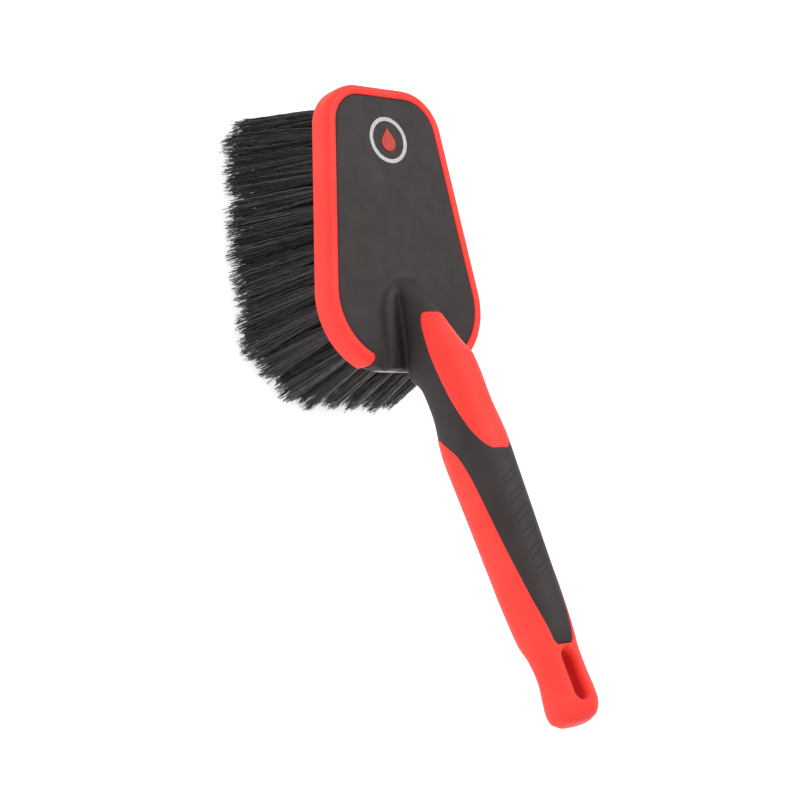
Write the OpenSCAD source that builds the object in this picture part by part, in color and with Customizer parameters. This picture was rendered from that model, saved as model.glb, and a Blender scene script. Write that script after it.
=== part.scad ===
// Hand wash brush for wheels. A moulded core makes the head's shell, the neck and the handle; a soft
// bumper wraps the head, soft grips are let into the handle, and a drilled block carries the tufts.
// +X runs from the head to the hanging end, +Z is up, and the bristle tips stand on Z = 0.

/* [Head] */
// Length of the head, tip edge to rear edge
head_len = 130; // [120:1:140]
// Where the head's tip edge lies on X
tip_x = -64; // [-70:1:-60]
// Half the distance between the straight sides at the tip edge
tip_half_w = 31; // [28:0.5:34]
// Half the distance between the straight sides at the rear edge
rear_half_w = 48.7; // [45:0.1:50]
// Corner radius at the tip
tip_r = 20.7; // [17:0.1:22]
// Corner radius at the rear
rear_r = 32.7; // [28:0.1:33]
// Height of the head, block and shell together
head_h = 11; // [10:0.5:13]
// Thickness of the shell over the block
shell_h = 3; // [2.5:0.25:4]

/* [Bumper] */
// Width of the bumper's band on top of the head
band_w = 4.8; // [4:0.2:6]
// Thickness of the band
band_h = 1.5; // [1:0.25:2]
// Thickness of the bumper's side wall
wall = 2.6; // [2:0.1:3]
// Angle on the rear corners, from straight back, where the bumper ends
end_angle = 24; // [10:1:40]

/* [Bristles] */
// Free length of the bristles below the block
bristle_len = 51; // [45:1:60]
// Rows of tufts along the head
rows = 13; // [12:1:13]
// Least distance between the tufts of a row
tuft_pitch = 9.4; // [9:0.1:11]
// Distance from the head's outline to the outermost tuft holes
edge_gap = 7; // [6.5:0.5:8]
// Radius of a tuft hole
hole_r = 2.2; // [1.8:0.1:2.4]
// Depth of a tuft hole
hole_depth = 5.2; // [4:0.1:6]
// Radius of a tuft at its tips
tuft_tip_r = 4.8; // [3:0.1:4.9]

/* [Handle] */
// Slope of the handle above the shell, in degrees
handle_slope = 17.3; // [17:0.1:18]
// How squarely the handle's sections are rounded, where 2 is an ellipse
squareness = 2.3; // [2:0.1:2.6]
// Thickness of the thumb pad and of the grip
grip_wall = 2; // [1.5:0.25:2.5]
// Length of the hanging slot
slot_len = 21.4; // [18:1:22]
// Width of the hanging slot
slot_w = 7.4; // [6:0.5:8]

/* [Badge] */
// Outer radius of the badge's ring
badge_r = 10.6; // [8:0.2:11]
// Width of the ring's band
badge_band = 1.8; // [1.2:0.1:2.2]
// Height of the badge above the shell
badge_h = 0.4; // [0.3:0.1:0.6]

/* [Hidden] */
block_z = bristle_len;
shell_z = block_z + head_h;
rear_x = tip_x + head_len;
taper = atan((rear_half_w - tip_half_w) / head_len);
tip_c = [tip_x + tip_r, tip_half_w - tip_r * (1 - sin(taper)) / cos(taper)];
rear_c = [rear_x - rear_r, rear_half_w - rear_r * (1 + sin(taper)) / cos(taper)];
arc_steps = 9;
corner_steps = 6;
edge_round = 1.2;
skirt_w = 1.8;
skirt_low = 8;
skirt_high = 1.8;
skirt_turn = [8, 19];
skirt_rise = 0.5;

// Sections of the neck and handle: [x, height of the centre above the shell, half width,
// height above the centre, height below the centre].
sections = [
    [24, 0, 5.8, 0.4, 2.4],
    [26, 0.6, 6.4, 1.6, 2.6],
    [28, 1.4, 6.8, 2.3, 3.4],
    [33, 3.4, 7.1, 4.4, 5.4],
    [39, 5.6, 7.6, 6.5, 7.8],
    [46, 8.2, 8.3, 8.3, 10.6],
    [53, 11.2, 9.3, 9.6, 13.6],
    [60, 14.2, 10.7, 11, 16.6],
    [66, 16.8, 12.2, 12.6, 17.8],
    [70, 18.1, 12.6, 12.8, 14.6],
    [75, 19.8, 12.8, 12.8, 12.1],
    [88, 24, 12.7, 12.7, 11.8],
    [97, 26.8, 13.3, 13.3, 13.3],
    [106, 29.4, 13.9, 13.9, 13.9],
    [119, 33.4, 13.6, 13.6, 13.6],
    [137, 39, 13.1, 13.1, 13.1],
    [155, 44.5, 12.6, 12.6, 12.6],
    [172, 49.8, 12.3, 11.9, 11.9],
    [188, 55, 11.9, 10.4, 10.4],
    [195, 57.9, 11.6, 8.2, 8.2],
    [204, 61.2, 11.6, 7.5, 7.3],
    [212, 63.1, 12.2, 8.4, 7.8],
    [217, 63.9, 12.2, 8.5, 7.8],
    [221, 64.3, 10.5, 7.2, 6.8],
    [223.1, 64.4, 7, 4.8, 4.6]];
neck_tilts = [[24, 0], [28, 0], [60, 14], [66, handle_slope]];
// Squareness of the underside: slimmer where the neck stands over the shell.
under_square = [[24, 2.3], [32, 1.8], [54, 1.8], [66, squareness]];
// Half the angle round the top that the thumb pad covers, and that the grip leaves open.
pad_angles = [[43.5, 36], [44.7, 50], [47, 59], [50, 65], [56, 70], [63, 71], [73, 68], [81, 65.5], [87, 62],
    [97, 51], [102, 45], [107, 34], [110, 25], [111.8, 13]];
gap_angles = [[94.3, 160], [95.5, 140], [98, 118], [102, 99], [106, 90], [112, 81], [121, 73],
    [131, 68], [149, 60], [167, 48], [175, 42], [184, 31.5], [190, 24.5], [192.3, 21.5], [193.4, 16]];
nose_xs = [24, 26, 28, 33, 37, 41, 43.2];
pad_xs = [43.5, 44.7, 47, 50, 56, 61, 66, 70, 75, 81, 87, 91];
both_xs = [94.3, 95.5, 98, 102, 106, 109, 110.8, 111.8];
strip_xs = [112.1, 116, 121, 126, 131, 137, 143, 149, 155, 161, 167, 172, 178, 184, 189, 192, 193.4];
end_xs = [193.7, 197, 200.5, 204, 208, 212, 214.5, 217, 219.2, 221, 222.3, 223.1];
top_steps = 10;
side_steps = 4;
under_steps = 18;
strip_share = 0.5;

slot_x = 205.6;
slot_cut = 30;
fin_r = 1;
fin_root = -1.5;
fin_foot = [4, -0.8];
fin_path = [[25.4, 6.8, 5.8, -0.3], [28, 9.2, 7, 0.2], [31.6, 12.6, 9.2, 0.8], [36, 15, 11.2, 1.4],
    [41.5, 16.2, 12.6, 2], [47.5, 16.3, 12.9, 2.3], [56.5, 16.4, 12.7, 2.5], [64.7, 17.6, 12.7, 2.5]];
// How close to the neck the far rib keeps, against the near one: [x, share of the distance].
far_side = [[25, 0.72], [32, 0.8], [42, 1]];

badge_x = -39;
drop_r = 3.9;
drop_top = 7.2;

row_first = tip_x + edge_gap + 5.5;
row_last = rear_x - edge_gap - 5.5;
root_clear = 0.1;
tip_lean = -7.5;
rear_lean = 12.5;
lean_power = 1.4;
corner_cut = 4.5;
rear_sweep = 3;
// Half the width of the tips, centre to centre of the outermost tufts, along the head.
tip_spread = [[-52, 34.5], [-43, 40], [-25, 41.5], [0, 44.8], [37, 45.2], [46.5, 38.5], [53.5, 29.5]];
staple_t = 0.45;
staple_l = 4;
staple_h = 1.5;

red = [0.9, 0.16, 0.13];
black = [0.16, 0.15, 0.15];
light_grey = [0.62, 0.61, 0.6];

// ---- Solids from rings ----

// Faces of one band between two rings of n points, where ring k starts at point k * n.
function band_faces(k, n) = [for (i = [0:n - 1], half = [0, 1])
    let (a = k * n + i, b = k * n + (i + 1) % n)
    half == 0 ? [a, a + n, b + n] : [a, b + n, b]];

// A closed solid through rings of points. Each hub is the point that its end cap fans out from.
module loft(rings, first_hub, last_hub) {
    n = len(rings[0]);
    m = len(rings);
    points = concat([for (ring = rings, p = ring) p], [first_hub, last_hub]);
    sides = [for (k = [0:m - 2], f = band_faces(k, n)) f];
    first_cap = [for (i = [0:n - 1]) [i, (i + 1) % n, n * m]];
    last_cap = [for (i = [0:n - 1]) [n * (m - 1) + (i + 1) % n, n * (m - 1) + i, n * m + 1]];
    polyhedron(points, concat(sides, first_cap, last_cap));
}

// The flat end of a patch, whose rings are an outer arc and an inner arc of the same length.
function strip_cap(start, n, flip) = [for (i = [0:n / 2 - 2], half = [0, 1])
    let (a = start + i, b = start + n - 1 - i)
    let (t = half == 0 ? [a, a + 1, b] : [a + 1, b - 1, b])
    flip ? [t[2], t[1], t[0]] : t];

function middle(ring) = [for (axis = [0:2]) [for (p = ring) p[axis]] * [for (p = ring) 1] / len(ring)];

// ---- Head ----

function arc(c, r, from, to, steps) = [for (i = [0:steps]) [c[0], c[1], r, from + i * (to - from) / steps]];
function mirrored(path) = [for (i = [len(path) - 1:-1:0]) [path[i][0], -path[i][1], path[i][2], -path[i][3]]];

// Half the outline that the bumper wraps, and half the rear stretch that it leaves open.
wrap_half = concat(
    arc(rear_c, rear_r, end_angle, 90 + taper, arc_steps),
    arc(tip_c, tip_r, 90 + taper, 180, arc_steps));
wrap_path = concat(wrap_half, mirrored(wrap_half));
open_half = arc(rear_c, rear_r, 0, end_angle, corner_steps);
open_path = concat(mirrored(open_half), open_half);

function outline_point(s, inset, z) =
    [s[0] + (s[2] - inset) * cos(s[3]), s[1] + (s[2] - inset) * sin(s[3]), z];
function outline(path, inset, z) = [for (s = path) outline_point(s, inset, z)];

// A ring of the shell or the block: its inset inside the bumper, and its inset on the open rear.
function head_ring(wrap_inset, wrap_z, open_inset, open_z) = concat(
    outline(wrap_path, wrap_inset, wrap_z), outline(open_path, open_inset, open_z));

// The shell's skirt hangs low beside the bumper's ends and rises towards the middle of the rear edge.
function skirt_z(angle) = shell_z
    - lookup(abs(angle), [[skirt_turn[0], skirt_high], [skirt_turn[1], skirt_low]]);
function skirt_ring(wrap_z, inset) = concat(
    outline(wrap_path, wall, wrap_z),
    [for (s = open_path) outline_point(s, inset, skirt_z(s[3]))]);

module shell() {
    low = shell_z - shell_h;
    step = shell_z - band_h;
    loft([
        head_ring(wall, low, skirt_w, low),
        skirt_ring(low + skirt_rise, skirt_w),
        skirt_ring(step, 0),
        head_ring(band_w, step, 0, shell_z - edge_round),
        head_ring(band_w, shell_z, edge_round, shell_z)],
        [rear_c[0], 0, low], [rear_c[0], 0, shell_z]);
}

module bumper() {
    low = block_z;
    step = shell_z - band_h;
    profile = [[wall, low], [0.8, low], [0, low + 1], [0, shell_z - 2.4], [0.4, shell_z - 1.1],
        [1.5, shell_z - 0.2], [2.8, shell_z], [band_w, shell_z], [band_w, step], [wall, step]];
    rings = [for (s = wrap_path) [for (p = profile) outline_point(s, p[0], p[1])]];
    last = len(wrap_path) - 1;
    color(red)
        loft([for (i = [last:-1:0]) rings[i]],
            outline_point(wrap_path[last], 1.8, step), outline_point(wrap_path[0], 1.8, step));
}

// ---- Neck and handle ----

// The index of the section that x follows, and a smooth reading of one column there.
function section_at(x, i = 0) = i >= len(sections) - 2 || x < sections[i + 1][0] ? i : section_at(x, i + 1);
function slope_at(i, c) = i <= 0 || i >= len(sections) - 1 ? 0
    : (sections[i + 1][c] - sections[i - 1][c]) / (sections[i + 1][0] - sections[i - 1][0]);
function column(x, c) =
    let (i = section_at(x), a = sections[i], b = sections[i + 1], h = b[0] - a[0], t = (x - a[0]) / h)
    let (end_in = i == 0 ? (b[c] - a[c]) / h : slope_at(i, c))
    let (end_out = i == len(sections) - 2 ? (b[c] - a[c]) / h : slope_at(i + 1, c))
    (2 * t ^ 3 - 3 * t ^ 2 + 1) * a[c] + (t ^ 3 - 2 * t ^ 2 + t) * h * end_in
    + (3 * t ^ 2 - 2 * t ^ 3) * b[c] + (t ^ 3 - t ^ 2) * h * end_out;

function rounded(v, square) = sign(v) * abs(v) ^ (2 / square);

// A point of the handle's skin: angle 90 is the top, and depth is how far it lies below the skin.
function skin(x, angle, depth = 0) =
    let (top = sin(angle) > 0, tilt = lookup(x, neck_tilts))
    let (square = top ? squareness : lookup(x, under_square))
    let (rise = rounded(sin(angle), square) * (column(x, top ? 3 : 4) - depth))
    [x - rise * sin(tilt), rounded(cos(angle), square) * (column(x, 2) - depth),
        shell_z + column(x, 1) + rise * cos(tilt)];
function skin_arc(x, from, to, steps, depth) =
    [for (i = [0:steps]) skin(x, from + i * (to - from) / steps, depth)];

// The core's ring: top arc, one side, underside and other side, with the grips' seats let in.
function core_ring(x, pad_depth, grip_depth) =
    let (gap = lookup(x, gap_angles), pad = min(lookup(x, pad_angles), strip_share * gap))
    concat(
        skin_arc(x, 90 - pad, 90 + pad, top_steps, pad_depth),
        skin_arc(x, 90 + pad, 90 + gap, side_steps, 0),
        skin_arc(x, 90 + gap, 450 - gap, under_steps, grip_depth),
        skin_arc(x, 450 - gap, 450 - pad, side_steps, 0));

module neck_and_handle() {
    rings = concat(
        [for (x = nose_xs) core_ring(x, 0, 0)],
        [for (x = pad_xs) core_ring(x, grip_wall, 0)],
        [core_ring(both_xs[0] - 0.3, grip_wall, 0)],
        [for (x = both_xs) core_ring(x, grip_wall, grip_wall)],
        [for (x = strip_xs) core_ring(x, 0, grip_wall)]);
    loft(rings, middle(rings[0]), middle(rings[len(rings) - 1]));
}

// The rib beside the neck, through the stations of fin_path: [x, outer y, inner y, height].
// It slopes down to its foot under the neck.
module fin(side) {
    for (i = [0:len(fin_path) - 2])
        hull()
            for (p = [fin_path[i], fin_path[i + 1]])
                for (q = [[p[1], fin_root], [p[1], p[3]], [p[2], p[3]], fin_foot])
                    translate([p[0], q[0] * (side > 0 ? lookup(p[0], far_side) : -1), shell_z + q[1]])
                        sphere(r = fin_r, $fn = 16);
}

module core() {
    color(black) {
        shell();
        neck_and_handle();
        fin(1);
        fin(-1);
    }
}

// ---- Grips ----

// A closed piece of even thickness, laid over part of the skin.
module patch(rings) {
    n = len(rings[0]);
    m = len(rings);
    points = [for (ring = rings, p = ring) p];
    sides = [for (k = [0:m - 2], f = band_faces(k, n)) f];
    polyhedron(points, concat(sides, strip_cap(0, n, false), strip_cap(n * (m - 1), n, true)));
}

module thumb_pad() {
    rings = [for (x = concat(pad_xs, [both_xs[0] - 0.3], both_xs))
        let (a = lookup(x, pad_angles))
        concat(skin_arc(x, 90 - a, 90 + a, top_steps, 0), skin_arc(x, 90 + a, 90 - a, top_steps, grip_wall))];
    color(red)
        patch(rings);
}

// The grip's ring: the underside arc, and either its inner face or, past the core, the rest of the skin.
function grip_ring(x, closed) =
    let (gap = lookup(x, gap_angles))
    concat(
        skin_arc(x, 90 + gap, 450 - gap, under_steps, 0),
        closed ? skin_arc(x, 90 - gap, 90 + gap, under_steps, 0)
               : skin_arc(x, 450 - gap, 90 + gap, under_steps, grip_wall));

module grip() {
    open_rings = [for (x = concat(both_xs, strip_xs)) grip_ring(x, false)];
    end_rings = [for (x = end_xs) grip_ring(x, true)];
    rings = concat(open_rings, end_rings);
    n = len(rings[0]);
    m = len(rings);
    points = concat([for (ring = rings, p = ring) p], [middle(rings[m - 1])]);
    sides = [for (k = [0:m - 2], f = band_faces(k, n)) f];
    end_cap = [for (i = [0:n - 1]) [n * (m - 1) + (i + 1) % n, n * (m - 1) + i, n * m]];
    color(red)
        difference() {
            polyhedron(points, concat(sides, strip_cap(0, n, false), end_cap));
            hanging_slot();
        }
}

module hanging_slot() {
    half = (slot_len - slot_w) / 2;
    translate([slot_x, 0, shell_z + column(slot_x, 1)])
        rotate([0, -handle_slope, 0])
            translate([0, 0, -slot_cut / 2])
                linear_extrude(height = slot_cut) {
                    square([2 * half, slot_w], center = true);
                    for (x = [-half, half])
                        translate([x, 0])
                            circle(d = slot_w, $fn = 48);
                }
}

// ---- Badge ----

module badge_ring() {
    color([0.83, 0.83, 0.83])
        translate([badge_x, 0, shell_z])
            difference() {
                cylinder(r = badge_r, h = badge_h, $fn = 96);
                translate([0, 0, -1])
                    cylinder(r = badge_r - badge_band, h = badge_h + 2, $fn = 96);
            }
}

// A drop: a round foot, with flanks that curve in to a point towards the tip of the head.
module badge_drop() {
    flank = [for (t = [0:0.1:1]) [-drop_top + t * drop_top, drop_r * sin(90 * t) ^ 1.6]];
    foot = [for (a = [80:-10:-80]) [drop_r * cos(a), drop_r * sin(a)]];
    other = [for (i = [len(flank) - 1:-1:1]) [flank[i][0], -flank[i][1]]];
    color(red)
        translate([badge_x + 1.2, 0, shell_z])
            linear_extrude(height = badge_h)
                polygon(concat(flank, foot, other));
}

// ---- Block, tufts and their anchors ----

function row_x(r) = row_first + (r - 1) * (row_last - row_first) / (rows - 1);
function half_width(x) =
    x < tip_c[0] ? tip_c[1] + sqrt((tip_r - edge_gap) ^ 2 - (x - tip_c[0]) ^ 2)
    : x > rear_c[0] ? min(rear_c[1] + sqrt((rear_r - edge_gap) ^ 2 - (x - rear_c[0]) ^ 2), straight_side(x))
    : straight_side(x);
function straight_side(x) = tip_half_w - edge_gap / cos(taper) + (x - tip_x) * tan(taper);
function tuft_count(r) = floor(2 * half_width(row_x(r)) / tuft_pitch) + 1;
function share(r, i) = 2 * i / (tuft_count(r) - 1) - 1;
function root(r, i) = [row_x(r), share(r, i) * half_width(row_x(r)), block_z];
function tip(r, i) =
    let (t = (r - 1) / (rows - 1), near = max(0, -share(r, i)))
    [row_x(r) + tip_lean + (rear_lean - tip_lean) * t ^ lean_power - corner_cut * (t * near) ^ 4,
        share(r, i) * lookup(row_x(r), tip_spread) + rear_sweep * t ^ 4, 0];

// Stands the children's Z axis on a tuft's axis, from its root at the block's face to its tips.
module on_axis(r, i) {
    v = tip(r, i) - root(r, i);
    translate(root(r, i))
        rotate([0, acos(v[2] / norm(v)), atan2(v[1], v[0])])
            children();
}

module block() {
    top = shell_z - shell_h;
    color(light_grey)
        difference() {
            translate([0, 0, block_z])
                linear_extrude(height = top - block_z)
                    polygon([for (p = head_ring(wall, 0, skirt_w, 0)) [p[0], p[1]]]);
            for (r = [1:rows], i = [0:tuft_count(r) - 1])
                on_axis(r, i)
                    translate([0, 0, -hole_depth])
                        cylinder(r = hole_r, h = hole_depth + 2, $fn = 32);
        }
}

module tufts(r) {
    buried = hole_depth - staple_h - 0.2;
    reach = 3;
    color(black)
        for (i = [0:tuft_count(r) - 1])
            let (free_len = norm(tip(r, i) - root(r, i)))
            intersection() {
                on_axis(r, i) {
                    translate([0, 0, -buried])
                        cylinder(r = hole_r - root_clear, h = buried + 1, $fn = 32);
                    translate([0, 0, 1])
                        cylinder(r1 = hole_r - root_clear, r2 = tuft_tip_r, h = free_len + reach, $fn = 32);
                }
                translate([tip_x - 40, -100, 0])
                    cube([head_len + 80, 200, shell_z]);
            }
}

module staples(r) {
    color([0.75, 0.72, 0.6])
        for (i = [0:tuft_count(r) - 1])
            on_axis(r, i)
                translate([-staple_t / 2, -staple_l / 2, -hole_depth])
                    cube([staple_t, staple_l, staple_h]);
}

core();
bumper();
thumb_pad();
grip();
block();
badge_ring();
badge_drop();
for (r = [1:rows])
    tufts(r);
for (r = [1:rows])
    staples(r);
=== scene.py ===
"""Looks of a hand wash brush: black soft-touch head and handle, red soft grips and bumper, black bristles."""
import math

import bmesh
import bpy
import numpy as np
from mathutils import Matrix, Vector


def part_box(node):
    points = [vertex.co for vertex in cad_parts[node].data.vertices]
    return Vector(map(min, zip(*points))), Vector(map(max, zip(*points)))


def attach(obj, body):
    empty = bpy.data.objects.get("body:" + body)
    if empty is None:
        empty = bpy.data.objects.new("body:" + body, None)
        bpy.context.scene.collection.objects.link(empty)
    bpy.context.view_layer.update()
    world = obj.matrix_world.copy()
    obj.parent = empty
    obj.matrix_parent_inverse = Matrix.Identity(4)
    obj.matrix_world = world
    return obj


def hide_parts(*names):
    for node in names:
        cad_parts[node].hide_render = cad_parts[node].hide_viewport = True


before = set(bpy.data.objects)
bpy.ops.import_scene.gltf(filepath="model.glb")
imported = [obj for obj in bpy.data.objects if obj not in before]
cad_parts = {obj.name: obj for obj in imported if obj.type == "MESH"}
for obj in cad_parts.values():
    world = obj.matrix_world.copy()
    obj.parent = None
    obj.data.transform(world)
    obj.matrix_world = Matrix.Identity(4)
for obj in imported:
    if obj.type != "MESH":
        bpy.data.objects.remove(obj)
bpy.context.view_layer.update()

MM = 0.001
BODY = "root"


# ---- Places and sizes, in millimetres, read off the frame where it holds them ----

def node_box(node):
    """A node's lowest and highest corner, in millimetres."""
    low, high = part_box(node)
    return np.array(low) / MM, np.array(high) / MM


shell_top = node_box("badge_ring")[0][2]
block_face = node_box("block")[0][2]
tip_x = node_box("bumper")[0][0]

head_len = 130
rear_x = tip_x + head_len
tip_half_w = 31
rear_half_w = 48.7
tip_r = 20.7
rear_r = 32.7
shell_h = 3
band_w = 4.8
band_h = 1.5
wall = 2.6
end_angle = 24
skirt_w = 1.8
skirt_low = 8
skirt_high = 1.8
skirt_turn = (8, 19)
skirt_rise = 0.5

taper = math.degrees(math.atan((rear_half_w - tip_half_w) / head_len))
sin_t, cos_t = math.sin(math.radians(taper)), math.cos(math.radians(taper))
tip_c = (tip_x + tip_r, tip_half_w - tip_r * (1 - sin_t) / cos_t)
rear_c = (rear_x - rear_r, rear_half_w - rear_r * (1 + sin_t) / cos_t)

handle_slope = 17.3
squareness = 2.3
grip_wall = 1.8
proud = 0.2
edge_r = 0.8
# Sections of the neck and handle: x, height of the centre above the shell, half width,
# height above the centre, height below the centre.
sections = np.array([
    (24, 0, 5.8, 0.4, 2.4), (26, 0.6, 6.4, 1.6, 2.6), (28, 1.4, 6.8, 2.3, 3.4), (33, 3.4, 7.1, 4.4, 5.4),
    (39, 5.6, 7.6, 6.5, 7.8), (46, 8.2, 8.3, 8.3, 10.6), (53, 11.2, 9.3, 9.6, 13.6),
    (60, 14.2, 10.7, 11, 16.6), (66, 16.8, 12.2, 12.6, 17.8), (70, 18.1, 12.6, 12.8, 14.6),
    (75, 19.8, 12.8, 12.8, 12.1), (88, 24, 12.7, 12.7, 11.8), (97, 26.8, 13.3, 13.3, 13.3),
    (106, 29.4, 13.9, 13.9, 13.9), (119, 33.4, 13.6, 13.6, 13.6), (137, 39, 13.1, 13.1, 13.1),
    (155, 44.5, 12.6, 12.6, 12.6), (172, 49.8, 12.3, 11.9, 11.9), (188, 55, 11.9, 10.4, 10.4),
    (195, 57.9, 11.6, 8.2, 8.2), (204, 61.2, 11.6, 7.5, 7.3), (212, 63.1, 12.2, 8.4, 7.8),
    (217, 63.9, 12.2, 8.5, 7.8), (221, 64.3, 10.5, 7.2, 6.8), (223.1, 64.4, 7, 4.8, 4.6)], float)
neck_tilts = ((24, 0), (28, 0), (60, 14), (66, handle_slope))
under_square = ((24, 2.3), (32, 1.8), (54, 1.8), (66, squareness))
# Half the angle round the top that the thumb pad covers, and that the grip leaves open.
pad_angles = ((43.4, 32), (43.8, 42), (44.6, 49), (47, 58.5), (50, 65), (56, 69.5), (63, 71.5),
              (73, 68.5), (81, 65.5), (87, 62), (97, 51.5), (102, 44.5), (107, 34),
              (109.5, 26.5), (111, 19), (111.8, 12))
gap_angles = ((94.3, 158), (95, 144), (96.2, 131), (98, 118), (102, 101), (106, 90.5), (112, 81),
              (121, 73.5), (131, 68.5), (149, 60), (167, 48), (175, 41.5), (184, 31.5),
              (190, 24.5), (192.3, 21.5), (193.4, 16))
grip_start, strip_end = gap_angles[0][0], gap_angles[-1][0]
pad_start, pad_end = pad_angles[0][0], pad_angles[-1][0]
handle_end = sections[-1][0]

slot_x = 205.6
slot_len = 21.4
slot_w = 7.4
slot_bevel = 1.1

# The rib beside the neck: (x, outer edge, inner edge, height) at its stations, and its roundness.
rib_r = 0.7
rib_root = -2.0
rib_foot = (4.0, 0.0)
rib_stations = ((25, 7.6, 4.8, 0.2), (26.5, 8.8, 5.2, 0.8), (28, 10.2, 6, 1.2), (31.6, 13.6, 8.2, 1.8),
                (36, 16, 10.2, 2.4), (41.5, 17.2, 11.6, 3), (47.5, 17.3, 11.9, 3.3), (56.5, 17.4, 11.7, 3.5),
                (65.7, 18.7, 11.7, 3.5))
# How close to the neck the far rib keeps, against the near one, at each x.
far_side = ((25, 0.72), (32, 0.8), (42, 1))

rows = 13
edge_gap = 7
tuft_pitch = 9.4
row_first = tip_x + edge_gap + 5.5
row_last = rear_x - edge_gap - 5.5
tip_lean = -7.5
rear_lean = 12.5
lean_power = 1.4
corner_cut = 4.5
rear_sweep = 3
# How far each tuft's tip is shuffled along X and Y.
tip_shuffle = (1.3, 1.5, 0)
# Half the width of the tips, centre to centre of the outermost tufts, at each x.
tip_spread = ((-52, 34.5), (-43, 40), (-25, 41.5), (0, 44.8), (37, 45.2), (46.5, 38.5), (53.5, 29.5))


def smooth_lookup(x, table):
    """Reads a table of (x, value) pairs along a curve with no overshoot."""
    xs, ys = np.array(table, float).T
    h = np.diff(xs)
    d = np.diff(ys) / h
    slope = np.zeros_like(ys)
    same = d[:-1] * d[1:] > 0
    w1, w2 = 2 * h[1:] + h[:-1], h[1:] + 2 * h[:-1]
    slope[1:-1][same] = ((w1 + w2)[same] / (w1[same] / d[:-1][same] + w2[same] / d[1:][same]))
    slope[0], slope[-1] = d[0], d[-1]
    x = min(max(x, xs[0]), xs[-1])
    i = min(int(np.searchsorted(xs, x, "right")) - 1, len(h) - 1)
    t = (x - xs[i]) / h[i]
    return ((2 * t**3 - 3 * t**2 + 1) * ys[i] + (t**3 - 2 * t**2 + t) * h[i] * slope[i]
            + (3 * t**2 - 2 * t**3) * ys[i + 1] + (t**3 - t**2) * h[i] * slope[i + 1])


# ---- Meshes ----

def make_mesh(name, points, faces, smooth=True):
    """A mesh object from points in millimetres."""
    mesh = bpy.data.meshes.new(name)
    mesh.from_pydata([tuple(float(c) * MM for c in p) for p in points], [], faces)
    mesh.validate()
    if smooth:
        mesh.shade_smooth()
    piece = bpy.data.objects.new(name, mesh)
    bpy.context.scene.collection.objects.link(piece)
    return piece


def band_faces(n, m):
    """Quads between m closed rings of n points."""
    return [(k * n + i, (k + 1) * n + i, (k + 1) * n + (i + 1) % n, k * n + (i + 1) % n)
            for k in range(m - 1) for i in range(n)]


def loft(name, rings):
    """A closed solid through rings, with a hub in each end cap."""
    n, m = len(rings[0]), len(rings)
    points = [p for ring in rings for p in ring] + [np.mean(rings[0], axis=0), np.mean(rings[-1], axis=0)]
    first = [(i, (i + 1) % n, n * m) for i in range(n)]
    last = [(n * (m - 1) + (i + 1) % n, n * (m - 1) + i, n * m + 1) for i in range(n)]
    return make_mesh(name, points, band_faces(n, m) + first + last)


def evaluated_copy(piece, name):
    """A plain mesh object of the piece with its modifiers applied; the piece itself goes."""
    graph = bpy.context.evaluated_depsgraph_get()
    mesh = bpy.data.meshes.new_from_object(piece.evaluated_get(graph))
    mesh.name = name
    bpy.data.objects.remove(piece)
    copy = bpy.data.objects.new(name, mesh)
    bpy.context.scene.collection.objects.link(copy)
    return copy


def face_outwards(piece):
    """Merges doubled points and turns every face of the piece outwards."""
    bm = bmesh.new()
    bm.from_mesh(piece.data)
    bmesh.ops.remove_doubles(bm, verts=bm.verts, dist=0.00001)
    bmesh.ops.recalc_face_normals(bm, faces=bm.faces)
    bm.to_mesh(piece.data)
    bm.free()


def finish_piece(piece, material, slot, *nodes):
    piece.data.materials.clear()
    piece.data.materials.append(material)
    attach(piece, BODY)
    if nodes:
        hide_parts(*nodes)
    return piece


# ---- Shapes of the head ----

def arc(centre, r, start, end, steps):
    return [(centre[0], centre[1], r, start + i * (end - start) / steps) for i in range(steps + 1)]


def mirrored(path):
    return [(x, -y, r, -a) for x, y, r, a in reversed(path)]


def outline_point(station, inset, z):
    x, y, r, a = station
    a = math.radians(a)
    return np.array((x + (r - inset) * math.cos(a), y + (r - inset) * math.sin(a), z))


def wrap_path(steps):
    half = arc(rear_c, rear_r, end_angle, 90 + taper, steps) + arc(tip_c, tip_r, 90 + taper, 180, steps)
    return half + mirrored(half)


def open_path(steps):
    half = arc(rear_c, rear_r, 0, end_angle, steps)
    return mirrored(half) + half


def skirt_height(angle):
    """The skirt's lower edge: low beside the bumper's ends, high in the middle of the open rear."""
    t = (abs(angle) - skirt_turn[0]) / (skirt_turn[1] - skirt_turn[0])
    t = min(max(t, 0), 1)
    return shell_top - skirt_high - (skirt_low - skirt_high) * t * t * (3 - 2 * t)


def shell_solid():
    """The head's shell: a step for the bumper's band, and a skirt and a rounded edge at the open rear."""
    low, step = shell_top - shell_h, shell_top - band_h
    levels = ((wall, low, skirt_w, lambda a: low), (wall, low + skirt_rise, skirt_w, skirt_height),
              (wall, step, 0, skirt_height), (band_w + 0.05, step, 0, lambda a: shell_top - 1.1),
              (band_w + 0.05, shell_top - 0.3, 0.35, lambda a: shell_top - 0.35),
              (band_w + 0.05, shell_top, 1.1, lambda a: shell_top))
    rings = [[outline_point(s, wrap_in, z) for s in wrap_path(28)]
             + [outline_point(s, open_in, open_z(s[3])) for s in open_path(20)]
             for wrap_in, z, open_in, open_z in levels]
    return loft("shell", rings)


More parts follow.
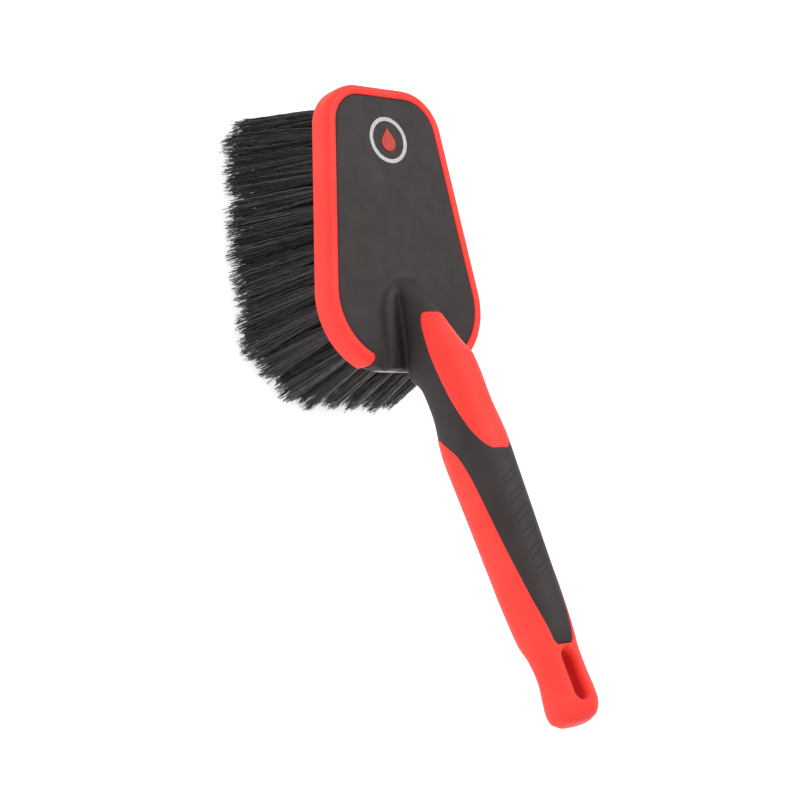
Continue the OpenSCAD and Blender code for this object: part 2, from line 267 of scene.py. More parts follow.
def bumper_profile(shrink, band):
    """The bumper's section as (inset, height) pairs; shrink rounds it off towards its cut ends."""
    top, low = shell_top - shrink, block_face + shrink
    crown = [(1.15 + 0.75 * k / 4, top - 0.28 * (1 - k / 4) ** 2) for k in range(5)]
    turns = [math.sin(math.radians(a)) for a in (0, 22, 45, 66)]
    shoulder = [(0.05 + 1.1 * turn * 0.9, top - 0.3 - 1.9 * (1 - turn)) for turn in turns]
    side = [(0.35, low), (0.1, low + 0.25), (0, low + 0.7), (-0.12, low + 3), (-0.1, top - 4.2)]
    step = shell_top - band_h
    inner = [(band - 0.25, top), (band, top - 0.2), (band, step), (wall, step), (wall, low)]
    return [(inset + shrink, z) for inset, z in side + shoulder + crown] + inner


def bumper_piece():
    """The soft bumper: its section carried round the head, rounded off at both cut ends."""
    path = wrap_path(36)
    ends = ((0.0, 0.7, 2.2), (0.25, 0.35, 1.3), (0.6, 0.12, 0.7), (1.1, 0.0, 0.25))
    rings = []
    start = path[0]
    for back, shrink, narrow in ends:
        a = start[3] + math.degrees(back / start[2])
        rings.append((start[:3] + (a,), shrink, band_w - narrow))
    rings += [(s, 0.0, band_w) for s in path[1:-1]]
    rings += [((x, -y, r, -a), shrink, band) for (x, y, r, a), shrink, band in reversed(rings[:len(ends)])]
    solid = [[outline_point(s, inset, z) for inset, z in bumper_profile(shrink, band)]
             for s, shrink, band in rings]
    piece = loft("bumper_skin", solid)
    face_outwards(piece)
    return piece


# ---- Shapes of the neck and handle ----

def column(x, c):
    """A smooth reading of one column of the sections, with the same tangents as the core has."""
    i = int(min(max(np.searchsorted(sections[:, 0], x, "right") - 1, 0), len(sections) - 2))
    a, b = sections[i], sections[i + 1]
    h = b[0] - a[0]
    t = (x - a[0]) / h

    def slope(k):
        return (sections[k + 1][c] - sections[k - 1][c]) / (sections[k + 1][0] - sections[k - 1][0])

    begin = (b[c] - a[c]) / h if i == 0 else slope(i)
    end = (b[c] - a[c]) / h if i == len(sections) - 2 else slope(i + 1)
    return ((2 * t**3 - 3 * t**2 + 1) * a[c] + (t**3 - 2 * t**2 + t) * h * begin
            + (3 * t**2 - 2 * t**3) * b[c] + (t**3 - t**2) * h * end)


def rounded(v, square):
    return math.copysign(abs(v) ** (2 / square), v)


def skin(x, angle, depth=0.0):
    """A point of the handle's skin: angle 90 is the top, and depth is how far it lies below the skin."""
    xs, tilts = zip(*neck_tilts)
    tilt = math.radians(float(np.interp(x, xs, tilts)))
    top = math.sin(math.radians(angle)) > 0
    square = squareness if top else float(np.interp(x, *zip(*under_square)))
    s, c = rounded(math.sin(math.radians(angle)), square), rounded(math.cos(math.radians(angle)), square)
    rise = s * (column(x, 3 if top else 4) - depth)
    return np.array((x - rise * math.sin(tilt), c * (column(x, 2) - depth),
                     shell_top + column(x, 1) + rise * math.cos(tilt)))


def steps_between(start, end, step):
    return np.linspace(start, end, max(2, int(round((end - start) / step)) + 1))


def rib_solid(side):
    """The rib along one side of the neck: a low wall with rounded edges and a valley beside it."""
    rings = []
    for x in steps_between(rib_stations[0][0], rib_stations[-1][0], 0.8):
        outer, inner, high = (float(smooth_lookup(x, [(p[0], p[k]) for p in rib_stations]))
                              for k in (1, 2, 3))
        if side > 0:
            near = np.interp(x, *zip(*far_side))
            outer, inner = outer * near, inner * near
        corner = min(rib_r, (outer - inner) / 2, max(high, 0.3))
        ring = [(x, side * outer, shell_top + rib_root)]
        for y, start in ((outer - corner, 0), (inner + corner, 90)):
            turns = [math.radians(start + t) for t in range(0, 91, 18)]
            ring += [(x, side * (y + corner * math.cos(a)),
                      shell_top + high - corner + corner * math.sin(a)) for a in turns]
        foot_y = side * rib_foot[0]
        rings.append(ring + [(x, foot_y, shell_top + rib_foot[1]), (x, foot_y, shell_top + rib_root)])
    return loft("rib", rings)


def melted_core():
    """Shell, neck, handle and ribs as one skin, with the hollows between them filled to smooth fillets."""
    parts = [shell_solid()]
    core_xs = np.concatenate([steps_between(24, 28, 0.5), steps_between(29, strip_end, 1.5)])
    rings = [[skin(x, a) for a in np.linspace(0, 360, 72, endpoint=False)] for x in core_xs]
    parts += [loft("neck", rings), rib_solid(-1), rib_solid(1)]
    bm = bmesh.new()
    for part in parts:
        bm.from_mesh(part.data)
        bpy.data.objects.remove(part)
    bmesh.ops.recalc_face_normals(bm, faces=bm.faces)
    mesh = bpy.data.meshes.new("core_skin")
    bm.to_mesh(mesh)
    bm.free()
    piece = bpy.data.objects.new("core_skin", mesh)
    bpy.context.scene.collection.objects.link(piece)
    remesh = piece.modifiers.new("melt", "REMESH")
    remesh.mode = "VOXEL"
    remesh.voxel_size = 0.75 * MM
    piece = evaluated_copy(piece, "core_skin")
    relax_fillets(piece.data)
    piece.data.shade_smooth()
    return piece


def relax_fillets(mesh, rounds=10):
    """Evens the skin out where the neck and ribs grow out of the shell, and a little on the handle."""
    count = len(mesh.vertices)
    co = np.empty(count * 3)
    mesh.vertices.foreach_get("co", co)
    co = co.reshape(-1, 3) / MM
    ends = np.empty(len(mesh.edges) * 2, dtype=np.int64)
    mesh.edges.foreach_get("vertices", ends)
    ends = ends.reshape(-1, 2)
    ring = np.bincount(ends.ravel(), minlength=count)[:, None]
    rise = np.clip((co[:, 2] - (shell_top - 1.2)) / 1.0, 0, 1)
    neck = np.clip((co[:, 0] - 18) / 5, 0, 1) * np.clip((80 - co[:, 0]) / 12, 0, 1)
    beside = np.clip((21 - np.abs(co[:, 1])) / 4, 0, 1)
    strength = np.maximum(neck * beside * rise, 0.18 * np.clip((co[:, 0] - 70) / 5, 0, 1))[:, None] * 0.6
    for _ in range(rounds):
        total = np.zeros_like(co)
        np.add.at(total, ends[:, 0], co[ends[:, 1]])
        np.add.at(total, ends[:, 1], co[ends[:, 0]])
        co += (total / ring - co) * strength
    mesh.vertices.foreach_set("co", (co * MM).ravel())
    mesh.update()


def rolled_edge(e):
    """How deep a grip's skin lies at a distance e from its edge: proud inside, rolled under at the edge."""
    e = min(max(e, 0.0), edge_r)
    return edge_r - math.sqrt(edge_r**2 - (edge_r - e) ** 2) - proud


def fixed_across(half_angle, x, steps):
    """The same number of angles at every x: five in each rolled edge and the rest evenly between."""
    r = max(column(x, 2), 1.0)
    width = math.radians(half_angle) * r
    edge = min(edge_r, width * 0.45)
    rim = [edge * f for f in (0, 0.08, 0.25, 0.52, 1)]
    left = [(-half_angle + math.degrees(e / r), e) for e in rim]
    middle = [(a, edge_r) for a in np.linspace(left[-1][0], -left[-1][0], steps)[1:-1]]
    return left + middle + [(-a, e) for a, e in reversed(left)]


def patch_ring(x, centre, half_angle, steps, end_gap):
    """One ring of a grip: its rolled outer face and its flat inner one."""
    lanes = fixed_across(half_angle, x, steps)
    outer = [skin(x, centre + a, max(rolled_edge(e), rolled_edge(end_gap))) for a, e in lanes]
    inner = [skin(x, centre + a, grip_wall) for a, e in reversed(lanes)]
    return outer + inner


def strip_cap(start, n, flip):
    """The end of a patch whose ring is an outer arc and an inner arc of the same length."""
    faces = []
    for i in range(n // 2 - 1):
        quad = (start + i, start + i + 1, start + n - 2 - i, start + n - 1 - i)
        faces.append(tuple(reversed(quad)) if flip else quad)
    return faces


def end_spaced(start, end, step):
    """Stations along a patch, close together in the rolled edge at its start."""
    rim = [start + edge_r * f for f in (0, 0.08, 0.25, 0.52, 1)]
    return rim + list(steps_between(rim[-1], end, step))[1:]


def pad_piece():
    """The thumb pad, with its edge rolled all the way round."""
    front = end_spaced(pad_start, (pad_start + pad_end) / 2, 1.2)
    back = [pad_start + pad_end - x for x in reversed(front)]
    xs = front + back[1:]
    rings = [patch_ring(x, 90, smooth_lookup(x, pad_angles), 40, min(x - pad_start, pad_end - x)) for x in xs]
    n, m = len(rings[0]), len(rings)
    faces = band_faces(n, m) + strip_cap(0, n, False) + strip_cap(n * (m - 1), n, True)
    piece = make_mesh("thumb_pad_skin", [p for ring in rings for p in ring], faces)
    face_outwards(piece)
    return piece


def grip_piece():
    """The grip: an underside patch as far as the black strip goes, then the whole hanging end."""
    steps = 56
    rings = []
    for x in end_spaced(grip_start, strip_end, 1.5):
        rings.append(patch_ring(x, 270, 180 - smooth_lookup(x, gap_angles), steps, x - grip_start))
    for x in [strip_end + f for f in (0.05, 0.12, 0.3, 0.55, 0.9)] + list(steps_between(195.5, 217, 1.2)) \
            + [218.2, 219.3, 220.2, 221, 221.7, 222.3, 222.8, handle_end]:
        gap = smooth_lookup(x, gap_angles)
        lanes = fixed_across(180 - gap, x, steps)
        end_depth = rolled_edge(x - strip_end)
        under = [skin(x, 270 + a, -proud) for a, e in lanes]
        top = [skin(x, 90 - gap + 2 * gap * k / (len(lanes) - 1), end_depth) for k in range(len(lanes))]
        rings.append(under + top)
    n, m = len(rings[0]), len(rings)
    hub = np.mean(rings[-1], axis=0) + (0.35, 0, 0.05)
    faces = band_faces(n, m) + strip_cap(0, n, False)
    faces += [(n * (m - 1) + (i + 1) % n, n * (m - 1) + i, n * m) for i in range(n)]
    piece = make_mesh("grip_skin", [p for ring in rings for p in ring] + [hub], faces)
    face_outwards(piece)
    cutter = slot_cutter()
    cut = piece.modifiers.new("slot", "BOOLEAN")
    cut.operation = "DIFFERENCE"
    cut.solver = "EXACT"
    cut.object = cutter
    piece = evaluated_copy(piece, "grip_skin")
    bpy.data.objects.remove(cutter)
    piece.data.shade_smooth()
    piece.data.set_sharp_from_angle(angle=math.radians(38))
    return piece


def slot_cutter():
    """A round-ended pin through the hanging end, flared where it leaves the skin on both faces."""
    half = (slot_len - slot_w) / 2
    slope = math.radians(handle_slope)
    along = np.array((math.cos(slope), 0, math.sin(slope)))
    up = np.array((-math.sin(slope), 0, math.cos(slope)))
    centre = np.array((slot_x, 0, shell_top + column(slot_x, 1)))
    skin_rise = column(slot_x, 3)
    upper = ((skin_rise - 1.4, 0), (skin_rise - 0.5, 0.25), (skin_rise + 0.4, slot_bevel),
             (skin_rise + 6, slot_bevel * 1.6))
    flare = tuple((-rise, grow) for rise, grow in reversed(upper)) + upper
    rings = []
    for rise, grow in flare:
        r = slot_w / 2 + grow
        ring = []
        for end, turn in ((half, -90), (-half, 90)):
            for a in np.linspace(turn, turn + 180, 17):
                ring.append(centre + up * rise + along * (end + r * math.cos(math.radians(a)))
                            + np.array((0, r * math.sin(math.radians(a)), 0)))
        rings.append(ring)
    cutter = loft("slot_cutter", rings)
    face_outwards(cutter)
    return cutter


# ---- Bristles ----

def straight_side(x):
    return tip_half_w - edge_gap / cos_t + (x - tip_x) * math.tan(math.radians(taper))


def half_width(x):
    """Half the width, between hole centres, that a row of tufts spans at x."""
    if x < tip_c[0]:
        return tip_c[1] + math.sqrt((tip_r - edge_gap) ** 2 - (x - tip_c[0]) ** 2)
    if x > rear_c[0]:
        return min(rear_c[1] + math.sqrt((rear_r - edge_gap) ** 2 - (x - rear_c[0]) ** 2), straight_side(x))
    return straight_side(x)


def tufts_of_row(r):
    """Root and tip of each tuft's axis in row r, in millimetres."""
    x = row_first + (r - 1) * (row_last - row_first) / (rows - 1)
    count = int(2 * half_width(x) // tuft_pitch) + 1
    share = (r - 1) / (rows - 1)
    lean = tip_lean + (rear_lean - tip_lean) * share**lean_power
    xs, spreads = zip(*tip_spread)
    spread = float(np.interp(x, xs, spreads))
    shares = [2 * i / (count - 1) - 1 for i in range(count)]
    return [((x, s * half_width(x), block_face),
             (x + lean - corner_cut * (share * max(0, -s)) ** 4, s * spread + rear_sweep * share**4, 0.0))
            for s in shares]


class Graph:
    """A small helper that adds nodes to a tree and joins their sockets."""

    def __init__(self, tree):
        self.tree = tree

    def add(self, kind, settings=None, **inputs):
        node = self.tree.nodes.new(kind)
        for key, value in (settings or {}).items():
            setattr(node, key, value)
        for key, value in inputs.items():
            self.join(value, node, key.replace("_", " "))
        return node

    def join(self, value, node, key):
        socket = node.inputs[int(key)] if key.isdigit() else next(
            s for s in node.inputs if s.name == key and s.enabled)
        if isinstance(value, bpy.types.NodeSocket):
            self.tree.links.new(value, socket)
        else:
            socket.default_value = value

    def math(self, operation, *values):
        node = self.tree.nodes.new("ShaderNodeMath")
        node.operation = operation
        for i, value in enumerate(values):
            self.join(value, node, str(i))
        return node.outputs[0]

    def vector(self, operation, *values, scale=None):
        node = self.tree.nodes.new("ShaderNodeVectorMath")
        node.operation = operation
        for i, value in enumerate(values):
            self.join(value, node, str(i))
        if scale is not None:
            self.join(scale, node, "Scale")
        return node.outputs[0]


def random_float(g, low, high, seed):
    node = g.add("FunctionNodeRandomValue", {"data_type": "FLOAT"}, Min=low, Max=high, Seed=seed)
    return next(s for s in node.outputs if s.enabled)


def bristle_tree():
    """Fans filaments out from each tuft's root to its tip, crimped and cut a little unevenly."""
    tree = bpy.data.node_groups.new("bristles", "GeometryNodeTree")
    face = tree.interface
    face.new_socket("Geometry", in_out="OUTPUT", socket_type="NodeSocketGeometry")
    face.new_socket("Geometry", in_out="INPUT", socket_type="NodeSocketGeometry")
    inputs = {"Filaments": "Int", "Hole radius": "Float", "Tip radius": "Float", "Filament radius": "Float",
              "Crimp": "Float", "Waves": "Float", "Ragged": "Float", "Stray": "Float", "Seed": "Int",
              "Material": "Material"}
    for name, kind in inputs.items():
        face.new_socket(name, in_out="INPUT", socket_type="NodeSocket" + kind)
    g = Graph(tree)
    given = tree.nodes.new("NodeGroupInput").outputs
    out = tree.nodes.new("NodeGroupOutput")

    points = g.add("GeometryNodeMeshToPoints", Mesh=given["Geometry"]).outputs["Points"]
    spread = g.add("GeometryNodeDuplicateElements", {"domain": "POINT"},
                   Geometry=points, Amount=given["Filaments"]).outputs["Geometry"]
    seeds = [g.math("ADD", given["Seed"], k) for k in range(1, 10)]

    def disc(size, turn_seed, power, size_seed):
        turn = random_float(g, 0.0, math.tau, turn_seed)
        reach = g.math("MULTIPLY", g.math("POWER", random_float(g, 0.0, 1.0, size_seed), power), size)
        return (g.math("MULTIPLY", g.math("COSINE", turn), reach),
                g.math("MULTIPLY", g.math("SINE", turn), reach))

    lane_x, lane_y = disc(1.0, seeds[0], 0.5, seeds[1])
    lane = g.add("ShaderNodeCombineXYZ", X=lane_x, Y=lane_y).outputs[0]
    stray_x, stray_y = disc(given["Stray"], seeds[2], 3.0, seeds[3])
    cut = g.math("MULTIPLY", given["Ragged"], g.math("POWER", random_float(g, 0.0, 1.0, seeds[4]), 1.6))
    stray = g.add("ShaderNodeCombineXYZ", X=stray_x, Y=stray_y, Z=cut).outputs[0]
    sway_x, sway_y = disc(1.0, seeds[5], 0.3, seeds[6])
    sway = g.add("ShaderNodeCombineXYZ", X=sway_x, Y=sway_y).outputs[0]
    root = g.add("GeometryNodeInputPosition").outputs[0]

    # The shade attribute sets each strand's tone, its lighter end partly painted highlight, and the pace of
    # its crimp.
    kept = spread
    for name, value, kind in (("root", root, "FLOAT_VECTOR"), ("lane", lane, "FLOAT_VECTOR"),
                              ("stray", stray, "FLOAT_VECTOR"), ("sway", sway, "FLOAT_VECTOR"),
                              ("phase", random_float(g, 0.0, math.tau, seeds[7]), "FLOAT"),
                              ("shade", random_float(g, 0.0, 1.0, seeds[8]), "FLOAT")):
        kept = g.add("GeometryNodeStoreNamedAttribute", {"data_type": kind, "domain": "POINT"},
                     Geometry=kept, Name=name, Value=value).outputs["Geometry"]
    line = g.add("GeometryNodeCurvePrimitiveLine", Start=(0, 0, 0), End=(0, 0, 0.01)).outputs["Curve"]
    strand = g.add("GeometryNodeResampleCurve", Curve=line, Count=13).outputs["Curve"]
    placed = g.add("GeometryNodeInstanceOnPoints", Points=kept, Instance=strand).outputs["Instances"]
    strands = g.add("GeometryNodeRealizeInstances", Geometry=placed).outputs["Geometry"]

    def read(name, kind="FLOAT_VECTOR"):
        return g.add("GeometryNodeInputNamedAttribute", {"data_type": kind}, Name=name).outputs["Attribute"]

    t = g.add("GeometryNodeSplineParameter").outputs["Factor"]
    reach = g.vector("SUBTRACT", read("tip"), read("root"))
    axis = g.vector("ADD", read("root"), g.vector("SCALE", reach, scale=t))
    widening = g.math("SUBTRACT", given["Tip radius"], given["Hole radius"])
    opened = g.math("MULTIPLY", widening, g.math("POWER", t, 0.4))
    radius = g.math("ADD", given["Hole radius"], opened)
    fanned = g.vector("ADD", axis, g.vector("SCALE", read("lane"), scale=radius))
    strayed = g.vector("ADD", fanned, g.vector("SCALE", read("stray"), scale=g.math("POWER", t, 2.0)))
    pace = g.math("ADD", 0.7, g.math("MULTIPLY", read("shade", "FLOAT"), 0.6))
    turns = g.math("MULTIPLY", g.math("MULTIPLY", given["Waves"], math.tau), pace)
    wave = g.math("SINE", g.math("ADD", read("phase", "FLOAT"), g.math("MULTIPLY", t, turns)))
    swing = g.math("MULTIPLY", g.math("MULTIPLY", wave, given["Crimp"]), g.math("POWER", t, 0.5))
    bent = g.vector("ADD", strayed, g.vector("SCALE", read("sway"), scale=swing))
    moved = g.add("GeometryNodeSetPosition", Geometry=strands, Position=bent).outputs["Geometry"]
    section = g.add("GeometryNodeCurvePrimitiveCircle", Resolution=3,
                    Radius=given["Filament radius"]).outputs["Curve"]
    tubes = g.add("GeometryNodeCurveToMesh", Curve=moved, Profile_Curve=section,
                  Fill_Caps=True).outputs["Mesh"]
    real = g.add("GeometryNodeRealizeInstances", Geometry=tubes).outputs["Geometry"]
    done = g.add("GeometryNodeSetMaterial", Geometry=real, Material=given["Material"]).outputs["Geometry"]
    tree.links.new(done, out.inputs["Geometry"])
    return tree


def set_input(modifier, name, value):
    socket = next(s for s in modifier.node_group.interface.items_tree
                  if s.item_type == "SOCKET" and s.in_out == "INPUT" and s.name == name)
    modifier[socket.identifier] = value


def bristle_row(r, tree, material):
    """Row r as a plain mesh: each tuft's tip shuffled a little, then fanned out."""
    tufts = tufts_of_row(r)
    base = make_mesh(f"row_{r}", [root for root, tip in tufts], [], smooth=False)
    ends = np.array([tip for root, tip in tufts])
    low, high = ends[:, 1].min(), ends[:, 1].max()
    ends += np.random.default_rng(500 + r).uniform(-1, 1, (len(tufts), 3)) * tip_shuffle
    ends[:, 1] = np.clip(ends[:, 1], low, high)
    tips = base.data.attributes.new("tip", "FLOAT_VECTOR", "POINT")
    tips.data.foreach_set("vector", (ends * MM).ravel())
    fan = base.modifiers.new("bristles", "NODES")
    fan.node_group = tree
    settings = {"Filaments": 210, "Hole radius": 1.9 * MM, "Tip radius": 6.3 * MM,
                "Filament radius": 0.17 * MM, "Crimp": 0.38 * MM, "Waves": 4.4, "Ragged": 3.0 * MM,
                "Stray": 2.7 * MM, "Seed": 40 + 11 * r, "Material": material}
    for name, value in settings.items():
        set_input(fan, name, value)
    return evaluated_copy(base, f"bristles_{r}")


# ---- Materials ----

def new_material(name):
    material = bpy.data.materials.new(name)
    material.use_nodes = True
    tree = material.node_tree
    tree.nodes.clear()
    out = tree.nodes.new("ShaderNodeOutputMaterial")
    shader = tree.nodes.new("ShaderNodeBsdfPrincipled")
    tree.links.new(shader.outputs[0], out.inputs[0])
    return material, Graph(tree), shader


def noise(g, where, scale, detail=3.0, rough=0.5):
    node = g.add("ShaderNodeTexNoise", Vector=where, Scale=scale, Detail=detail, Roughness=rough)
    return node.outputs["Fac"]


def blend_colour(g, share, first, second):
    node = g.add("ShaderNodeMix", {"data_type": "RGBA"})
    factor, a, b = node.inputs[0], node.inputs[6], node.inputs[7]
    g.tree.links.new(share, factor)
    for socket, value in ((a, first), (b, second)):
        if isinstance(value, bpy.types.NodeSocket):
            g.tree.links.new(value, socket)
        else:
            socket.default_value = (*value, 1)
    return node.outputs[2]


def between(g, value, low, high, to_low=0.0, to_high=1.0):
    node = g.add("ShaderNodeMapRange", Value=value)
    for key, v in (("From Min", low), ("From Max", high), ("To Min", to_low), ("To Max", to_high)):
        node.inputs[key].default_value = v
    return node.outputs[0]


def soft_touch(name, dark, light, roughness, dust=0.0, strip_marks=False, slot_painted_shade=None):
    """Matt moulded rubber: spark-eroded grain, faint flow clouds, a little dust, and, if given, painted shade
    on the walls deep inside the hanging slot.
    """
    material, g, shader = new_material(name)
    where = g.add("ShaderNodeTexCoord").outputs["Object"]
    clouds = noise(g, where, 45.0, 4.0)
    colour = blend_colour(g, between(g, clouds, 0.3, 0.7), dark, light)
    # Painted shade: the walls deep inside the hanging slot are darkened as if they lay in shadow.
    if slot_painted_shade:
        colour = blend_colour(g, slot_mask(g, where), colour, slot_painted_shade)
    if dust:
        specks = between(g, noise(g, where, 900.0, 1.0), 0.80, 0.86, 0.0, dust)
        colour = blend_colour(g, specks, colour, (0.35, 0.33, 0.32))
    g.tree.links.new(colour, shader.inputs["Base Color"])
    g.tree.links.new(between(g, noise(g, where, 160.0, 3.0), 0.3, 0.7, roughness - 0.05, roughness + 0.06),
                     shader.inputs["Roughness"])
    shader.inputs["Specular IOR Level"].default_value = 0.14
    grain = noise(g, where, 2600.0, 2.0, 0.6)
    bump = g.add("ShaderNodeBump", Height=grain, Strength=0.2, Distance=0.0001)
    normal = bump.outputs[0]
    if strip_marks:
        marks = g.add("ShaderNodeBump", Height=strip_pattern(g, where), Strength=0.7, Distance=0.0006,
                      Normal=normal)
        normal = marks.outputs[0]
    g.tree.links.new(normal, shader.inputs["Normal"])
    return material


def along_handle(g, part):
    """The distance along the handle's slope, from a point's separate coordinates."""
    slope = math.radians(handle_slope)
    return g.math("ADD", g.math("MULTIPLY", part[0], math.cos(slope)),
                  g.math("MULTIPLY", part[2], math.sin(slope)))


def slot_mask(g, where):
    """Where shade is painted: 1 on the walls deep inside the hanging slot, 0 elsewhere."""
    centre = Vector((slot_x, 0, shell_top + float(column(slot_x, 1)))) * MM
    local = g.add("ShaderNodeSeparateXYZ", Vector=g.vector("SUBTRACT", where, centre)).outputs
    slope = math.radians(handle_slope)
    along = along_handle(g, local)
    rise = g.math("SUBTRACT", g.math("MULTIPLY", local[2], math.cos(slope)),
                  g.math("MULTIPLY", local[0], math.sin(slope)))
    side = between(g, g.math("ABSOLUTE", local[1]), (slot_w / 2 + 0.5) * MM, (slot_w / 2 + 0.1) * MM)
    ends = between(g, g.math("ABSOLUTE", along), (slot_len / 2 + 0.5) * MM, (slot_len / 2 + 0.1) * MM)
    deep = between(g, rise, 6.2 * MM, 3.4 * MM)
    return g.math("MULTIPLY", g.math("MULTIPLY", side, ends), deep)


def strip_pattern(g, where):
    """A row of plain slanted dashes pressed into the black strip on top of the handle."""
    slope = math.radians(handle_slope)
    part = g.add("ShaderNodeSeparateXYZ", Vector=where).outputs
    along = along_handle(g, part)
    first = (120 * math.cos(slope) + (shell_top + 33) * math.sin(slope)) * MM
    last = first + 50 * MM
    slanted = g.math("ADD", along, g.math("MULTIPLY", part[1], 0.6))
    phase = g.math("FRACT", g.math("DIVIDE", g.math("SUBTRACT", slanted, first), 8.3 * MM))
    dash = g.math("MULTIPLY", between(g, phase, 0.28, 0.36), between(g, phase, 0.72, 0.64))
    side = between(g, g.math("ABSOLUTE", part[1]), 4.4 * MM, 4.0 * MM)
    span = g.math("MULTIPLY", between(g, along, first, first + 0.5 * MM),
                  between(g, along, last, last - 0.5 * MM))
    above = between(g, part[2], (shell_top + 38) * MM, (shell_top + 39) * MM)
    mask = g.math("MULTIPLY", g.math("MULTIPLY", dash, side), g.math("MULTIPLY", span, above))
    return g.math("SUBTRACT", 1.0, mask)


def filament_material():
    """Satin black nylon: most strands near black, the rest a little lighter, one shade to a strand; the
    lighter strands are partly random tone and partly painted highlight for the glints along the strands.
    """
    material, g, shader = new_material("bristle_nylon")
    shade = g.add("ShaderNodeAttribute", {"attribute_name": "shade"}).outputs["Fac"]
    # The lighter colour is partly painted highlight, standing in for glints along the strands.
    colour = blend_colour(g, between(g, shade, 0.55, 1.0), (0.005, 0.0045, 0.0045), (0.118, 0.103, 0.096))
    g.tree.links.new(colour, shader.inputs["Base Color"])
    where = g.add("ShaderNodeTexCoord").outputs["Object"]
    g.tree.links.new(between(g, noise(g, where, 700.0, 2.0), 0.3, 0.7, 0.34, 0.5), shader.inputs["Roughness"])
    shader.inputs["Specular IOR Level"].default_value = 0.55
    return material


def block_material():
    """Light grey moulded polypropylene, with faint flow marks and a fine satin grain."""
    material, g, shader = new_material("block_plastic")
    where = g.add("ShaderNodeTexCoord").outputs["Object"]
    marks = between(g, noise(g, where, 60.0, 5.0), 0.35, 0.65)
    colour = blend_colour(g, marks, (0.24, 0.222, 0.216), (0.32, 0.297, 0.29))
    g.tree.links.new(colour, shader.inputs["Base Color"])
    g.tree.links.new(between(g, noise(g, where, 300.0), 0.3, 0.7, 0.42, 0.55), shader.inputs["Roughness"])
    bump = g.add("ShaderNodeBump", Height=noise(g, where, 1800.0), Strength=0.2, Distance=0.0001)
    g.tree.links.new(bump.outputs[0], shader.inputs["Normal"])
    return material


def print_material(name, dark, light, roughness):
    """A printed badge colour with a faint screen texture."""
    material, g, shader = new_material(name)
    where = g.add("ShaderNodeTexCoord").outputs["Object"]
    colour = blend_colour(g, between(g, noise(g, where, 500.0, 3.0), 0.4, 0.6), dark, light)
    g.tree.links.new(colour, shader.inputs["Base Color"])
    g.tree.links.new(between(g, noise(g, where, 900.0), 0.3, 0.7, roughness - 0.04, roughness + 0.06),
                     shader.inputs["Roughness"])
    bump = g.add("ShaderNodeBump", Height=noise(g, where, 2400.0), Strength=0.15, Distance=0.00005)
    g.tree.links.new(bump.outputs[0], shader.inputs["Normal"])
    return material


def wire_material():
    """Drawn brass wire for the anchors."""
    material, g, shader = new_material("anchor_wire")
    where = g.add("ShaderNodeTexCoord").outputs["Object"]
    draw_marks = between(g, noise(g, where, 900.0), 0.35, 0.65)
    colour = blend_colour(g, draw_marks, (0.5, 0.4, 0.22), (0.72, 0.62, 0.4))
    g.tree.links.new(colour, shader.inputs["Base Color"])
    g.tree.links.new(between(g, noise(g, where, 1500.0), 0.3, 0.7, 0.25, 0.42), shader.inputs["Roughness"])
    shader.inputs["Metallic"].default_value = 1.0
    return material


# ---- Camera, floor and light ----

def camera():
    """Looks down over the head with the camera rolled, so that the handle runs down the frame."""
    azimuth, elevation, roll = (math.radians(a) for a in (12.77, 47.99, 72.94))
    back = Vector((math.sin(azimuth) * math.cos(elevation), -math.cos(azimuth) * math.cos(elevation),
                   math.sin(elevation)))
    level = Vector((math.cos(azimuth), math.sin(azimuth), 0))
    upright = back.cross(level)
    right = level * math.cos(roll) + upright * math.sin(roll)
    up = back.cross(right)
    data = bpy.data.cameras.new("camera")
    data.lens = 85
    data.sensor_width = 36
    piece = bpy.data.objects.new("camera", data)
    bpy.context.scene.collection.objects.link(piece)
    turn = Matrix((right, up, back)).transposed().to_4x4()
    place = Vector((198.9, -543.6, 604.1 + shell_top)) * MM
    piece.matrix_world = Matrix.Translation(place) @ turn
    bpy.context.scene.camera = piece


def floor():
    """A pale plain floor, just below the bristles, which is staging and not part of the brush."""
    size, depth = 3.0, -0.0015
    corners = [(-size, -size, depth), (size, -size, depth), (size, size, depth), (-size, size, depth)]
    mesh = bpy.data.meshes.new("floor")
    mesh.from_pydata(corners, [], [(0, 1, 2, 3)])
    piece = bpy.data.objects.new("floor", mesh)
    bpy.context.scene.collection.objects.link(piece)
    material, g, shader = new_material("floor_white")
    shader.inputs["Base Color"].default_value = (0.7, 0.7, 0.7, 1)
    shader.inputs["Emission Color"].default_value = (1, 1, 1, 1)
    shader.inputs["Emission Strength"].default_value = 0.62
    shader.inputs["Roughness"].default_value = 0.9
    mesh.materials.append(material)


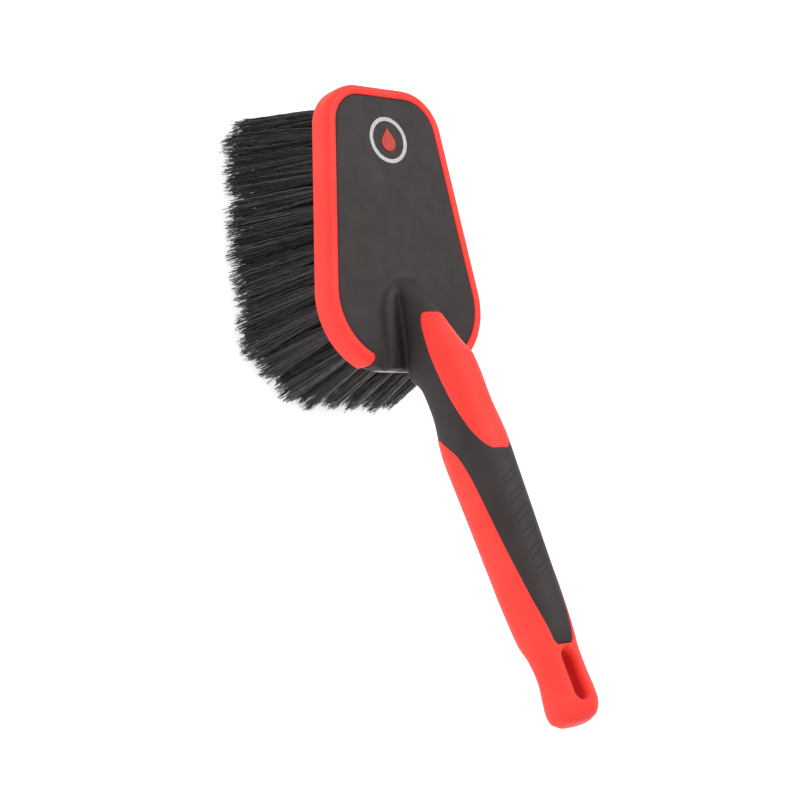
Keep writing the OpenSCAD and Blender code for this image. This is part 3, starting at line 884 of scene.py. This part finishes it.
def soft_box(name, place, aim, size, power):
    data = bpy.data.lights.new(name, "AREA")
    data.shape = "DISK"
    data.size = size
    data.energy = power
    lamp = bpy.data.objects.new(name, data)
    bpy.context.scene.collection.objects.link(lamp)
    lamp.location = place
    lamp.rotation_mode = "QUATERNION"
    lamp.rotation_quaternion = (Vector(aim) - Vector(place)).to_track_quat("-Z", "Y")


def light():
    world = bpy.data.worlds.new("studio")
    world.use_nodes = True
    world.node_tree.nodes["Background"].inputs[0].default_value = (1, 1, 1, 1)
    world.node_tree.nodes["Background"].inputs[1].default_value = 0.55
    bpy.context.scene.world = world
    bpy.context.scene.view_settings.view_transform = "Standard"
    middle = (0.06, 0, 0.06)
    soft_box("key", (-0.7, 1.0, 1.4), middle, 0.9, 15)
    soft_box("fill", (0.3, -1.4, 0.9), middle, 1.2, 9)
    soft_box("top", (0.1, 0.1, 1.9), middle, 1.2, 5)


# ---- The brush ----

camera()
floor()
light()

black = soft_touch("black_soft_touch", (0.039, 0.031, 0.031), (0.046, 0.037, 0.0375), 0.55, 0.3, True)
# The red's slot colour is painted shade, a darker red for the walls deep inside the hanging slot.
red = soft_touch("red_soft_touch", (0.93, 0.05, 0.038), (0.99, 0.062, 0.048), 0.5,
                 slot_painted_shade=(0.62, 0.012, 0.01))
nylon = filament_material()

finish_piece(melted_core(), black, "black_plastic", "core")
finish_piece(bumper_piece(), red, "red_rubber", "bumper")
finish_piece(pad_piece(), red, "red_rubber", "thumb_pad")
finish_piece(grip_piece(), red, "red_rubber", "grip")

tree = bristle_tree()
for r in range(1, rows + 1):
    finish_piece(bristle_row(r, tree, nylon), nylon, "bristle", f"tufts_{r}")

kept = {"block": block_material(),
        "badge_ring": print_material("badge_grey_print", (0.42, 0.42, 0.43), (0.5, 0.5, 0.51), 0.5),
        "badge_drop": print_material("badge_red_print", (0.46, 0.02, 0.009), (0.55, 0.026, 0.012), 0.6)}
wire = wire_material()
kept.update({f"staples_{r}": wire for r in range(1, rows + 1)})
for node, material in kept.items():
    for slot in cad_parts[node].material_slots:
        slot.material = material
